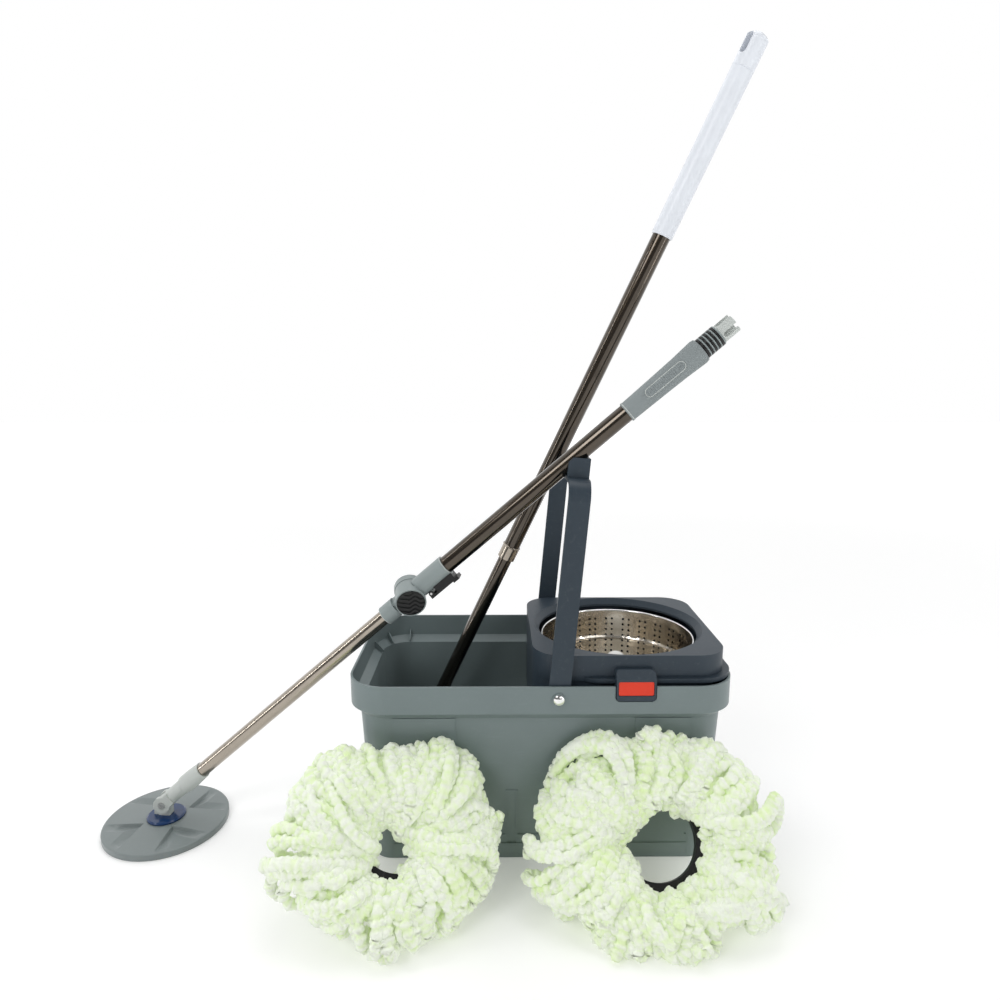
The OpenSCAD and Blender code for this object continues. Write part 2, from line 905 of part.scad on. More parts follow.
module yoke_screw() {
    color([0.6, 0.6, 0.6])
        on_lower()
            rotate([90, 0, 0])
                difference() {
                    union() {
                        cylinder(h = 2 * ear_out, r = 3, center = true);
                        translate([0, 0, ear_out])
                            cylinder(h = 1.4, r = 4.6);
                        translate([0, 0, -ear_out - 2])
                            cylinder(h = 2, r = 4.6);
                    }
                    translate([-5, -0.5, ear_out + 0.7])
                        cube([10, 1, 2]);
                }
}

// The mop head's own frame: upright, centred under the yoke screw, turned with the lower pole
module on_head() {
    translate([lower_foot[0], lower_foot[1], 0])
        rotate([0, 0, lower_turn])
            children();
}

module hub_lug() {
    color([0.85, 0.86, 0.86])
        on_head()
            difference() {
                union() {
                    translate([0, 0, lower_foot[2]])
                        rotate([90, 0, 0])
                            cylinder(h = 2 * ear_in - 2 * gap, r = 9.5, center = true);
                    translate([-8, -ear_in + gap, plate_z + 3])
                        cube([16, 2 * ear_in - 2 * gap, lower_foot[2] - plate_z - 3]);
                    translate([-15, -4, plate_z + 3])
                        cube([9, 8, 8]);
                }
                translate([0, 0, lower_foot[2]])
                    rotate([90, 0, 0])
                        cylinder(h = 40, r = 3 + run, center = true);
            }
}

module hub_plate() {
    color([0.06, 0.2, 0.45])
        on_head()
            union() {
                translate([0, 0, plate_z])
                    cylinder(h = 1.6, r = plate_r);
                translate([0, 0, plate_z + 1.59])
                    cylinder(h = 1.41, r1 = plate_r, r2 = plate_r - 2);
                translate([0, 0, 4])
                    cylinder(h = plate_z - 4 + eps, r = 12);
                translate([0, 0, 3])
                    cylinder(h = 2, r = 15);
            }
}

module mop_disc() {
    crease = 26;
    color([0.5, 0.52, 0.53])
        on_head()
            difference() {
                union() {
                    cylinder(h = disc_edge, r = disc_r);
                    translate([0, 0, disc_edge - eps])
                        cylinder(h = 3.2, r1 = disc_r - 0.6, r2 = plate_r + 3);
                }
                translate([0, 0, -1])
                    cylinder(h = 30, r = 12 + run);
                translate([0, 0, -1])
                    cylinder(h = 6.4, r = 15.5);
                difference() {
                    translate([0, 0, -1])
                        cylinder(h = disc_edge - 1.6, r = disc_r - 2.5);
                    translate([0, 0, -2])
                        cylinder(h = disc_edge, r = 22);
                }
                for (k = [0:3])
                    rotate([0, 0, 90 * k - 20])
                        translate([plate_r + 9, 0, disc_edge + 2.6])
                            rotate([0, 5.5, 0])
                                linear_extrude(6)
                                    polygon([
                                        [0, 0],
                                        [20, 17],
                                        [crease, 21],
                                        [crease, -21],
                                        [20, -17]
                                    ]);
            }
}

// Each refill's own frame: the ring's plane is XY, its face is +Z
module on_a() {
    translate(ring_a_at)
        rotate([ring_a_lean, 0, ring_a_turn])
            children();
}

module on_b() {
    translate(ring_b_at)
        rotate([ring_b_lean, 0, ring_b_turn])
            children();
}

module refill_ring() {
    rotate_extrude()
        difference() {
            translate([ring_in, -7])
                square([ring_out - ring_in, 14]);
            translate([ring_in + 9, 1])
                square([20, 10]);
        }
}

module refill_back() {
    translate([0, 0, -11])
        difference() {
            cylinder(h = 3.6, r = ring_out + 1);
            translate([0, 0, -1])
                cylinder(h = 6, r = ring_in + 3);
        }
}

// The strands as one plain ring of soft stuff, flat where it lies on the floor
module refill_strands() {
    tuft = (strand_reach - ring_out) / 2 - 1;
    rotate_extrude()
        translate([ring_out + 1 + gap + tuft, 2])
            circle(r = tuft);
}

// Everything above the floor and in front of the bucket
module room_front() {
    translate([-600, -500, strand_z])
        cube([1200, 500 - corner_y - body_r - 4, 400]);
}

module ring_a() {
    color([0.04, 0.04, 0.04])
        on_a()
            refill_ring();
}

module ring_back_a() {
    color([0.06, 0.06, 0.06])
        on_a()
            refill_back();
}

module strands_a() {
    color([0.87, 0.93, 0.82])
        intersection() {
            on_a()
                refill_strands();
            room_front();
        }
}

module ring_b() {
    color([0.04, 0.04, 0.04])
        on_b()
            refill_ring();
}

module ring_back_b() {
    color([0.06, 0.06, 0.06])
        on_b()
            refill_back();
}

module strands_b() {
    color([0.87, 0.93, 0.82])
        intersection() {
            on_b()
                refill_strands();
            room_front();
        }
}

tub();
pivot_front();
pivot_back();
bail_handle();
housing();
spindle();
latch_frame();
latch_button();
basket_shell();
basket_rim();
basket_hub();
up_ferrule();
up_thin_tube();
up_outer_tube();
up_collar();
up_bush();
up_grip();
up_cap();
lp_outer_tube();
lp_grip();
lp_ribbed_collar();
lp_spigot();
knuckle_housing();
knuckle_axle();
knuckle_button();
clamp_lever();
lever_pin();
knuckle_tongue();
lp_thin_tube();
lp_socket();
swivel_yoke();
yoke_screw();
hub_lug();
hub_plate();
mop_disc();
ring_a();
ring_back_a();
strands_a();
ring_b();
ring_back_b();
strands_b();
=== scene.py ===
import json
import math

import bmesh
import bpy
import numpy as np
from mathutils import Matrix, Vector

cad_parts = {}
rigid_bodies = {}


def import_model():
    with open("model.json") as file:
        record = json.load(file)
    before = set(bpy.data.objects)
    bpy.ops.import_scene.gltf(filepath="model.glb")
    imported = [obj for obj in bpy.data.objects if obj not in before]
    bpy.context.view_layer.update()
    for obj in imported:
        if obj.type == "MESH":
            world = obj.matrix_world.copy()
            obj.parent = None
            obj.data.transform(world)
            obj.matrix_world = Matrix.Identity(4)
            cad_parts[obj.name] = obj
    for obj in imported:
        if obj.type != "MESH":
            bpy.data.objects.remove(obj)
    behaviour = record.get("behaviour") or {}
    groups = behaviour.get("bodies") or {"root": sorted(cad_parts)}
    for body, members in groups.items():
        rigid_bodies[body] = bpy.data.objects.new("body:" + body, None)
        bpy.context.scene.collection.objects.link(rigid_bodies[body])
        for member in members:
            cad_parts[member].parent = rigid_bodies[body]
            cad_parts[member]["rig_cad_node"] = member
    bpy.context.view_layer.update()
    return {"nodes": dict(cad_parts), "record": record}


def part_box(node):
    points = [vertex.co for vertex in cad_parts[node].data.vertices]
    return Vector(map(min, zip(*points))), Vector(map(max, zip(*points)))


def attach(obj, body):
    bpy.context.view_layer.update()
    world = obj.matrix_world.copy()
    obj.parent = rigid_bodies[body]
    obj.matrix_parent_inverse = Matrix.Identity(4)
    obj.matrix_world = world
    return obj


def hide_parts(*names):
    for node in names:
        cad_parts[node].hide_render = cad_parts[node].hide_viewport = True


# Spin mop set: bucket with lift-out spinner, two poles, swivel mop head and two chenille refills. Metres.
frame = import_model()
record = frame["record"]
mm = 0.001
slotOf = {s["node"]: s["material_slot"] for s in record["subparts"]}
jointOf = {j["name"]: j for j in record["behaviour"]["joints"]}


def boxOf(node):
    low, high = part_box(node)
    return np.array(low), np.array(high)


def centreOf(node):
    low, high = boxOf(node)
    return (low + high) / 2


# ---- camera, floor and lights ----
cameraSet = {"place": (-0.05747, -0.9309, 0.6086), "down": 9.69, "turn": -0.426, "lens": 25.4}
lightSet = {
    # name: (width, height), place, aimed at, watts
    "keySoftbox": ((1.2, 0.9), (-1.3, -1.9, 1.9), (0, 0, 0.2), 20),
    "frontFill": ((1.4, 0.9), (1.2, -2.2, 1.2), (0, 0, 0.25), 6),
    "rightStrip": ((0.10, 1.9), (1.5, -1.1, 0.9), (0, 0, 0.4), 6),
    "leftStrip": ((0.10, 1.9), (-2.0, -0.5, 0.9), (-0.1, 0, 0.4), 7),
    "topPanel": ((1.5, 1.0), (0.1, 0.35, 2.2), (0, 0, 0.2), 9),
}
# the room's brightness: in front of the set (behind the camera), and at the back of it
worldSet = {"dim": 0.20, "bright": 1.0, "ramp": (0.30, 0.66)}
floorSet = {"half": 9.0, "drop": 0.0004}


def makeCamera(s):
    cam = bpy.data.objects.new("camera", bpy.data.cameras.new("camera"))
    cam.location = s["place"]
    cam.rotation_euler = (math.radians(90 - s["down"]), 0, math.radians(s["turn"]))
    cam.data.lens = s["lens"]
    cam.data.sensor_width = 36
    cam.data.clip_start, cam.data.clip_end = 0.02, 60
    bpy.context.scene.collection.objects.link(cam)
    bpy.context.scene.camera = cam


def makeLight(name, size, place, target, watts):
    data = bpy.data.lights.new(name, "AREA")
    data.shape = "RECTANGLE"
    data.size, data.size_y = size
    data.energy = watts
    lamp = bpy.data.objects.new(name, data)
    lamp.location = place
    lamp.rotation_euler = (Vector(target) - Vector(place)).to_track_quat("-Z", "Y").to_euler()
    bpy.context.scene.collection.objects.link(lamp)


def makeWorld(s):
    # white behind the set and dimmer in front of it, so round and glossy pieces have something dark to reflect
    sky = bpy.data.worlds.new("studio")
    sky.use_nodes = True
    nodes, links = sky.node_tree.nodes, sky.node_tree.links
    place = nodes.new("ShaderNodeTexCoord")
    split = nodes.new("ShaderNodeSeparateXYZ")
    spread = nodes.new("ShaderNodeMapRange")
    spread.interpolation_type = "SMOOTHSTEP"
    spread.inputs["From Min"].default_value = 2 * s["ramp"][0] - 1
    spread.inputs["From Max"].default_value = 2 * s["ramp"][1] - 1
    spread.inputs["To Min"].default_value = s["dim"]
    spread.inputs["To Max"].default_value = s["bright"]
    links.new(place.outputs["Generated"], split.inputs[0])
    links.new(split.outputs["Y"], spread.inputs["Value"])
    links.new(spread.outputs["Result"], nodes["Background"].inputs["Strength"])
    nodes["Background"].inputs["Color"].default_value = (1, 1, 1, 1)
    bpy.context.scene.world = sky
    bpy.context.scene.view_settings.view_transform = "Standard"


makeCamera(cameraSet)
for lampName, lampFacts in lightSet.items():
    makeLight(lampName, *lampFacts)
makeWorld(worldSet)
print("camera and lights placed")


# ---- shader maths ----
class Val:
    # a node socket that takes part in + - * and /
    def __init__(self, book, socket):
        self.book, self.socket = book, socket

    def maths(self, operation, first, second):
        return self.book.node("Math", {"operation": operation}, {0: first, 1: second})

    def __add__(self, other):
        return self.maths("ADD", self, other)

    def __sub__(self, other):
        return self.maths("SUBTRACT", self, other)

    def __rsub__(self, other):
        return self.maths("SUBTRACT", other, self)

    def __mul__(self, other):
        return self.maths("MULTIPLY", self, other)

    def __truediv__(self, other):
        return self.maths("DIVIDE", self, other)

    __radd__ = __add__
    __rmul__ = __mul__


class Book:
    # one material and the nodes in it
    def __init__(self, name):
        self.material = bpy.data.materials.new(name)
        self.material.use_nodes = True
        self.tree = self.material.node_tree
        self.shader = self.tree.nodes["Principled BSDF"]
        self.place = self.node("TexCoord", {}, {}, "Object")

    def fill(self, socket, value):
        if isinstance(value, Val):
            self.tree.links.new(value.socket, socket)
        elif hasattr(socket.default_value, "__len__") and len(value) < len(socket.default_value):
            socket.default_value = (*value, 1.0)
        else:
            socket.default_value = value

    def node(self, kind, settings, sockets, out=0):
        made = self.tree.nodes.new("ShaderNode" + kind)
        for key, value in settings.items():
            if key == "stops":
                while len(made.color_ramp.elements) < len(value):
                    made.color_ramp.elements.new(0.5)
                for element, (at, grey) in zip(made.color_ramp.elements, value):
                    element.position, element.color = at, (grey, grey, grey, 1)
            else:
                setattr(made, key, value)
        for key, value in sockets.items():
            self.fill(made.inputs[key], value)
        return Val(self, made.outputs[out])

    def noise(self, scale, detail, rough, place=None):
        return self.node("TexNoise", {}, {"Vector": place or self.place, "Scale": scale, "Detail": detail,
                                          "Roughness": rough})

    def ramp(self, value, *stops):
        return self.node("ValToRGB", {"stops": stops}, {"Fac": value})

    def mix(self, share, first, second):
        # sockets 6 and 7 are the two colours of a colour mix, output 2 is its result
        return self.node("Mix", {"data_type": "RGBA"}, {0: share, 6: first, 7: second}, 2)

    def vector(self, operation, *parts, out=0):
        return self.node("VectorMath", {"operation": operation}, dict(enumerate(parts)), out)

    def along(self, axis, squeeze):
        # object place with its part along the axis shrunk, so a pattern is drawn out into lines along it
        length = self.vector("DOT_PRODUCT", self.place, tuple(axis), out="Value")
        spread = self.node("CombineXYZ", {}, {"X": length * axis[0], "Y": length * axis[1], "Z": length * axis[2]})
        shrunk = self.node("VectorMath", {"operation": "SCALE"}, {0: spread, "Scale": 1 - squeeze})
        return self.vector("SUBTRACT", self.place, shrunk)

    def bump(self, height, distance):
        return self.node("Bump", {}, {"Height": height, "Distance": distance, "Strength": 1.0})

    def finish(self, **sockets):
        for key, value in sockets.items():
            self.fill(self.shader.inputs[key.replace("_", " ")], value)
        return self.material


# ---- materials ----
plasticLook = {
    # slot: base colour, roughness, coat, depth of the moulded grain in mm
    "bucket_grey": ((0.170, 0.212, 0.216), 0.42, 0.10, 0.020),
    "slate": ((0.024, 0.038, 0.053), 0.46, 0.03, 0.018),
    "latch_red": ((0.72, 0.030, 0.003), 0.34, 0.12, 0.006),
    "hub_white": ((0.80, 0.80, 0.77), 0.25, 0.4, 0.005),
    "grip_white": ((0.70, 0.73, 0.78), 0.38, 0.15, 0.015),
    "joint_grey": ((0.245, 0.285, 0.285), 0.40, 0.12, 0.016),
    "pale_plastic": ((0.50, 0.53, 0.51), 0.38, 0.12, 0.014),
    "disc_grey": ((0.195, 0.225, 0.225), 0.34, 0.22, 0.014),
    "hub_blue": ((0.002, 0.030, 0.115), 0.16, 0.4, 0.004),
    "black": ((0.0025, 0.0025, 0.003), 0.38, 0.05, 0.008),
}


def plastic(name, colour, roughness, coat, grainDepth):
    b = Book(name)
    mottle = b.noise(14, 4, 0.6)
    cloud = b.noise(3.2, 2, 0.5)
    grain = b.noise(1900, 2, 0.5)
    scuffPlace = b.node("Mapping", {}, {"Vector": b.place, "Rotation": (0.3, 0.7, 0.4), "Scale": (30, 420, 190)})
    scuff = b.ramp(b.noise(1.0, 4, 0.65, scuffPlace), (0.60, 0), (0.74, 1))
    dust = b.ramp(b.noise(160, 5, 0.7), (0.56, 0), (0.80, 1))
    light = tuple(min(1, c * 1.16 + 0.006) for c in colour)
    deep = tuple(c * 0.86 for c in colour)
    pale = tuple(min(1, c * 1.3 + 0.03) for c in colour)
    body = b.mix(mottle * 0.6 + cloud * 0.4, deep, light)
    worn = b.mix(scuff * 0.16, body, pale)
    dusted = b.mix(dust * 0.05, worn, (0.50, 0.50, 0.47))
    height = grain + scuff * -0.5 + mottle * 0.4
    b.shader.inputs["Specular IOR Level"].default_value = 0.34
    return b.finish(Base_Color=dusted, Roughness=roughness - 0.06 + mottle * 0.10 + scuff * 0.12,
                    Coat_Weight=coat, Coat_Roughness=0.18, Normal=b.bump(height, grainDepth * mm))


def rubber(name, colour):
    b = Book(name)
    mottle = b.noise(22, 4, 0.6)
    grain = b.noise(1300, 3, 0.6)
    worn = b.ramp(b.noise(75, 5, 0.7), (0.50, 0), (0.78, 1))
    body = b.mix(mottle, tuple(c * 0.85 for c in colour), tuple(c * 1.15 for c in colour))
    shade = b.mix(worn * 0.25, body, tuple(c * 1.45 for c in colour))
    return b.finish(Base_Color=shade, Roughness=0.58 + mottle * 0.14 - worn * 0.12,
                    Normal=b.bump(grain + worn * 0.4, 0.03 * mm))


def platedTube(name, axis, tones):
    # dark bronze plating under clear lacquer: faint drawn lines along the tube, smudges and a few dull patches
    b = Book(name)
    drawn = b.noise(150, 2, 0.5, b.along(axis, 0.02))
    bands = b.noise(45, 2, 0.5, b.along(axis, 0.04))
    smudge = b.ramp(b.noise(30, 4, 0.6), (0.50, 0), (0.72, 1))
    tone = b.mix(bands, tones[0], tones[1])
    tinted = b.mix(smudge * 0.22, tone, tones[2])
    return b.finish(Base_Color=tinted, Metallic=1.0, Roughness=0.16 + drawn * 0.04 + smudge * 0.05,
                    Coat_Weight=0.9 - smudge * 0.2, Coat_Roughness=0.04, Normal=b.bump(drawn, 0.0002 * mm))


def brightMetal(name, colour, roughness):
    b = Book(name)
    lines = b.noise(900, 3, 0.6, b.along((0, 0, 1), 0.06))
    smudge = b.ramp(b.noise(70, 5, 0.6), (0.45, 0), (0.75, 1))
    tone = b.mix(smudge * 0.5 + lines * 0.3, colour, tuple(c * 0.72 for c in colour))
    return b.finish(Base_Color=tone, Metallic=1.0, Roughness=roughness + lines * 0.08 + smudge * 0.10,
                    Normal=b.bump(lines, 0.008 * mm))


def sheetSteel(name):
    # polished sheet with rolling lines round it, warm heat tints and water marks
    b = Book(name)
    lines = b.noise(700, 3, 0.6, b.along((0, 0, 1), 3.0))
    cloud = b.noise(24, 4, 0.6)
    marks = b.ramp(b.noise(120, 5, 0.7), (0.55, 0), (0.75, 1))
    tone = b.mix(cloud, (0.62, 0.55, 0.44), (0.80, 0.78, 0.74))
    marked = b.mix(marks * 0.35, tone, (0.45, 0.42, 0.37))
    return b.finish(Base_Color=marked, Metallic=1.0, Roughness=0.13 + lines * 0.08 + marks * 0.16,
                    Normal=b.bump(lines + marks * 0.5, 0.004 * mm))


def chenille(name):
    # white pile with painted shade: lime painted into the creases; the "crease" attribute is 0 on the crowns and 1 in
    # the valleys
    b = Book(name)
    crease = b.node("Attribute", {"attribute_name": "crease"}, {}, "Fac")
    tint = b.node("Attribute", {"attribute_name": "tint"}, {}, "Fac")
    patch = b.ramp(b.noise(30, 3, 0.6), (0.46, 0), (0.66, 1))
    fleck = b.noise(420, 4, 0.7)
    pile = b.node("TexVoronoi", {"feature": "F1"}, {"Vector": b.place, "Scale": 640.0, "Randomness": 1.0})
    # painted shade: the crease mask and the shade part of the tint turn the pile lime in its valleys, with random
    # patches on top
    lime = crease * 0.46 + patch * 0.22 + tint * 0.30
    paintedShadePile = b.mix(b.ramp(lime, (0.22, 0), (1.05, 1)), (0.84, 0.88, 0.78), (0.60, 0.76, 0.32))
    flecked = b.mix(fleck * 0.16, paintedShadePile, (0.93, 0.95, 0.91))
    # painted glow: an emission colour, greener in the valleys, stands in for light scattered inside the pile and keeps
    # its valleys bright
    inner = b.mix(lime, (0.075, 0.082, 0.065), (0.15, 0.185, 0.08))
    b.shader.inputs["Emission Strength"].default_value = 1.0
    b.shader.inputs["Sheen Weight"].default_value = 0.2
    b.shader.inputs["Sheen Roughness"].default_value = 0.6
    return b.finish(Base_Color=flecked, Roughness=0.86 + fleck * 0.12, Emission_Color=inner,
                    Normal=b.bump(fleck * 0.8 - pile * 0.9, 0.5 * mm))


def floorPaint(name):
    # pale paper that glows a little more with distance, so it runs into the white behind it
    b = Book(name)
    cloud = b.noise(0.7, 3, 0.5)
    grain = b.noise(240, 2, 0.5)
    away = b.vector("LENGTH", b.place, out="Value")
    glow = b.ramp(away / 7.0, (0.10, 0.22), (0.75, 0.62))
    b.shader.inputs["Emission Strength"].default_value = 1.0
    return b.finish(Base_Color=b.mix(cloud, (0.80, 0.80, 0.80), (0.84, 0.84, 0.84)), Roughness=0.5 + grain * 0.1,
                    Emission_Color=glow, Normal=b.bump(grain, 0.02 * mm))


upperAxis = jointOf["upper_pole_lift"]["axis"]
lowerAxis = jointOf["yoke_swivel"]["axis"]
bronze = ((0.045, 0.035, 0.025), (0.080, 0.060, 0.040), (0.026, 0.024, 0.022))
paleBronze = ((0.30, 0.26, 0.21), (0.42, 0.37, 0.31), (0.20, 0.175, 0.15))
paints = {slotName: plastic(slotName, *look) for slotName, look in plasticLook.items()}
paints["grip_rubber"] = rubber("gripRubber", (0.225, 0.255, 0.26))
paints["bright_steel"] = brightMetal("brightSteel", (0.86, 0.86, 0.85), 0.08)
paints["steel"] = brightMetal("turnedSteel", (0.60, 0.60, 0.60), 0.24)
paints["basket_steel"] = sheetSteel("sheetSteel")
paints["chenille"] = chenille("chenillePile")
tubePaint = {
    "up_thin_tube": platedTube("upperThinTube", upperAxis, bronze),
    "up_outer_tube": platedTube("upperOuterTube", upperAxis, bronze),
    "lp_outer_tube": platedTube("lowerOuterTube", lowerAxis, bronze),
    "lp_thin_tube": platedTube("lowerThinTube", lowerAxis, paleBronze),
    "up_collar": platedTube("swagedCollar", upperAxis, paleBronze),
}
for cadObject in list(bpy.data.objects):
    node = cadObject.get("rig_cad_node")
    if node:
        cadObject.data.materials.clear()
        cadObject.data.materials.append(tubePaint.get(node) or paints[slotOf[node]])
print("materials made")


# ---- mesh helpers ----
def newPiece(name, points, faces, material, body):
    mesh = bpy.data.meshes.new(name)
    mesh.from_pydata(points, [], faces)
    mesh.materials.append(material)
    mesh.polygons.foreach_set("use_smooth", np.full(len(mesh.polygons), True))
    piece = bpy.data.objects.new(name, mesh)
    bpy.context.scene.collection.objects.link(piece)
    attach(piece, body)
    return piece


def weld(piece, distance):
    bm = bmesh.new()
    bm.from_mesh(piece.data)
    bmesh.ops.remove_doubles(bm, verts=bm.verts, dist=distance)
    bmesh.ops.recalc_face_normals(bm, faces=bm.faces)
    bm.to_mesh(piece.data)
    bm.free()


def gridFaces(rows, cols, wrap):
    # quads of a rows x cols grid of points, closed round the columns if wrap
    r, c = np.meshgrid(np.arange(rows - 1), np.arange(cols if wrap else cols - 1), indexing="ij")
    n = (c + 1) % cols
    return np.stack([r * cols + c, r * cols + n, (r + 1) * cols + n, (r + 1) * cols + c], -1).reshape(-1, 4)


def makeFloor(s):
    h, z = s["half"], -s["drop"]
    mesh = bpy.data.meshes.new("floor")
    mesh.from_pydata([(-h, -h, z), (h, -h, z), (h, h, z), (-h, h, z)], [], [(0, 1, 2, 3)])
    mesh.materials.append(floorPaint("paleFloor"))
    plane = bpy.data.objects.new("floor", mesh)
    bpy.context.scene.collection.objects.link(plane)


makeFloor(floorSet)


# ---- perforated basket ----
basketSet = {"pairs": 25, "pairGap": 9.0 * mm, "rowPitch": 8.3 * mm, "rows": 9, "firstRow": 9.0 * mm,
             "hole": 1.75 * mm, "sheet": 0.7 * mm, "cone": 6 * mm, "beadDepth": 1.3 * mm, "beadWidth": 1.6 * mm,
             "taper": 5 * mm, "skin": 0.1 * mm, "floorBore": 13 * mm, "floorColumns": 24, "floorFirst": 38 * mm,
             "floorPitch": 12 * mm, "floorRows": 4}


def perforated(columns, rows, shape, holeRadius, localRadius):
    # each cell of the grid is either a plain 4 x 4 patch or a ring of 16 quads from its edge to a round hole.
    # columns and rows are (middle, half width, has hole); shape turns an angle and a distance up the sheet to a point
    s = np.linspace(-1, 1, 5)[:4]
    one = np.ones(4)
    edge = np.concatenate([np.stack([s, -one], 1), np.stack([one, s], 1), np.stack([-s, one], 1),
                           np.stack([-one, -s], 1)])
    turn = np.arctan2(edge[:, 1], edge[:, 0])
    here, after = np.arange(16), np.roll(np.arange(16), -1)
    ringQuads = np.stack([here, after, after + 16, here + 16], 1)
    gy, gx = np.meshgrid(np.linspace(-1, 1, 5), np.linspace(-1, 1, 5), indexing="ij")
    plainQuads = gridFaces(5, 5, False)
    points, quads, count = [], [], 0
    for vMid, vHalf, vHole in rows:
        for aMid, aHalf, aHole in columns:
            if vHole and aHole:
                a = np.concatenate([aMid + aHalf * edge[:, 0], aMid + holeRadius * np.cos(turn) / localRadius(vMid)])
                v = np.concatenate([vMid + vHalf * edge[:, 1], vMid + holeRadius * np.sin(turn)])
                cell = ringQuads
            else:
                a, v = (aMid + aHalf * gx).ravel(), (vMid + vHalf * gy).ravel()
                cell = plainQuads
            points.append(shape(a, v))
            quads.append(cell + count)
            count += len(a)
    return np.concatenate(points), np.concatenate(quads)


def makeBasket(s):
    low, high = boxOf("basket_shell")
    middle = (low + high) / 2
    topRadius = (high[0] - low[0]) / 2 - s["skin"]
    foot = low[2] + s["cone"]
    wall = high[2] - foot
    footRadius = topRadius - s["taper"]
    slant = math.hypot(s["cone"], s["cone"])
    beadAt = s["firstRow"] + s["rowPitch"] * (s["rows"] / 2 - 0.5) + s["rowPitch"] / 2

    def radiusAt(v):
        bead = s["beadDepth"] * np.exp(-((v - beadAt) / s["beadWidth"]) ** 2)
        cone = footRadius + v * s["cone"] / slant
        return np.where(v < 0, cone, footRadius + (topRadius - footRadius) * v / wall) - bead

    def wallShape(a, v):
        r = radiusAt(v)
        z = np.where(v < 0, foot + v * s["cone"] / slant, foot + v)
        return np.stack([middle[0] + r * np.cos(a), middle[1] + r * np.sin(a), z], 1)

    def floorShape(a, v):
        return np.stack([middle[0] + v * np.cos(a), middle[1] + v * np.sin(a), np.full_like(a, low[2] + s["skin"])], 1)

    step = 2 * math.pi / s["pairs"]
    holeHalf = s["pairGap"] / 2 / topRadius
    fillHalf = (step - 4 * holeHalf) / 2
    columns = []
    for k in range(s["pairs"]):
        columns += [(k * step - holeHalf, holeHalf, True), (k * step + holeHalf, holeHalf, True),
                    (k * step + step / 2, fillHalf, False)]
    half = s["rowPitch"] / 2
    rowList = [(s["firstRow"] + k * s["rowPitch"], half, True) for k in range(s["rows"])]
    bottom, top = s["firstRow"] - half, s["firstRow"] + (s["rows"] - 0.5) * s["rowPitch"]
    rowList += [(bottom / 2, bottom / 2, False), ((top + wall) / 2, (wall - top) / 2, False),
                (-slant / 2, slant / 2, False)]
    wallPoints, wallQuads = perforated(columns, rowList, wallShape, s["hole"], lambda v: topRadius)

    cell = math.pi / s["floorColumns"]
    floorColumns = [(2 * cell * k, cell, True) for k in range(s["floorColumns"])]
    halfPitch = s["floorPitch"] / 2
    floorRows = [(s["floorFirst"] + k * s["floorPitch"], halfPitch, True) for k in range(s["floorRows"])]
    inner, outer = s["floorBore"], footRadius - s["cone"]
    firstEdge = s["floorFirst"] - halfPitch
    lastEdge = s["floorFirst"] + (s["floorRows"] - 0.5) * s["floorPitch"]
    floorRows += [((inner + firstEdge) / 2, (firstEdge - inner) / 2, False),
                  ((lastEdge + outer) / 2, (outer - lastEdge) / 2, False)]
    floorPoints, floorQuads = perforated(floorColumns, floorRows, floorShape, s["hole"], lambda v: v)

    piece = newPiece("basketPerforated", np.concatenate([wallPoints, floorPoints]),
                     np.concatenate([wallQuads, floorQuads + len(wallPoints)]), paints["basket_steel"], "basket")
    weld(piece, 0.01 * mm)
    skin = piece.modifiers.new("thickness", "SOLIDIFY")
    skin.thickness, skin.offset = s["sheet"], -1
    solid = bpy.data.meshes.new_from_object(piece.evaluated_get(bpy.context.evaluated_depsgraph_get()))
    piece.modifiers.clear()
    piece.data = solid
    solid.set_sharp_from_angle(angle=math.radians(32))
    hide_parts("basket_shell")


makeBasket(basketSet)
print("basket perforated")


# ---- poles: frames, ring lines, grip inlay ----
def cadPoints(node):
    # a CAD node's own vertices in the room
    found = frame["nodes"][node]
    flat = np.empty(len(found.data.vertices) * 3)
    found.data.vertices.foreach_get("co", flat)
    turned = np.array(found.matrix_world)
    return flat.reshape(-1, 3) @ turned[:3, :3].T + turned[:3, 3]


class Pole:
    # stations and radii along a pole, counted from its foot; side is the pole's own Y
    def __init__(self, foot, axis, side):
        self.foot, self.axis, self.side = (np.array(v, float) for v in (foot, axis, side))
        self.face = np.cross(self.side, self.axis)

    def span(self, node):
        points = cadPoints(node) - self.foot
        station = points @ self.axis
        radius = np.linalg.norm(points - station[:, None] * self.axis, axis=1)
        return station.min(), station.max(), radius.max()

    def place(self, x, y, s):
        x, y, s = np.broadcast_arrays(x, y, s)
        return self.foot + x[..., None] * self.face + y[..., None] * self.side + s[..., None] * self.axis


ringLook = {
    # name: node it sits on, its end (0 low, 1 high), offset along the pole (mm), tube it runs round and how far out (mm),
    # thickness (mm), paint
    "kneeMouth": ("knuckle_housing", 1, -0.5, ("lp_outer_tube", 1.7), 0.60, "pale_plastic"),
    "tongueMouth": ("knuckle_tongue", 0, 0.5, ("lp_thin_tube", 2.7), 0.60, "pale_plastic"),
    "socketLip": ("lp_socket", 1, -0.4, ("lp_thin_tube", 1.1), 0.50, "pale_plastic"),
    "gripFoot": ("lp_grip", 0, 2.0, ("lp_outer_tube", 1.3), 0.60, "pale_plastic"),
}
ribSet = {"first": 5.1, "pitch": 5.0, "count": 5, "inset": 1.05, "thick": 1.15}
inlaySet = {"turn": -8, "share": 0.52, "rise": 3.7, "half": 28.0, "wide": 5.5, "edge": 0.42, "rib": 0.34,
            "ribs": 19, "margin": 0.9}


def tubeRing(pole, station, radius, thick, name, body, slot):
    a = np.linspace(0, 2 * math.pi, 72, endpoint=False)[None, :]
    b = np.linspace(0, 2 * math.pi, 11)[:, None]
    r = radius + thick * np.cos(b)
    points = pole.place(r * np.cos(a), r * np.sin(a), station + thick * np.sin(b) + 0 * a)
    piece = newPiece(name, points.reshape(-1, 3), gridFaces(11, 72, True), paints[slot], body)
    weld(piece, 0.005 * mm)


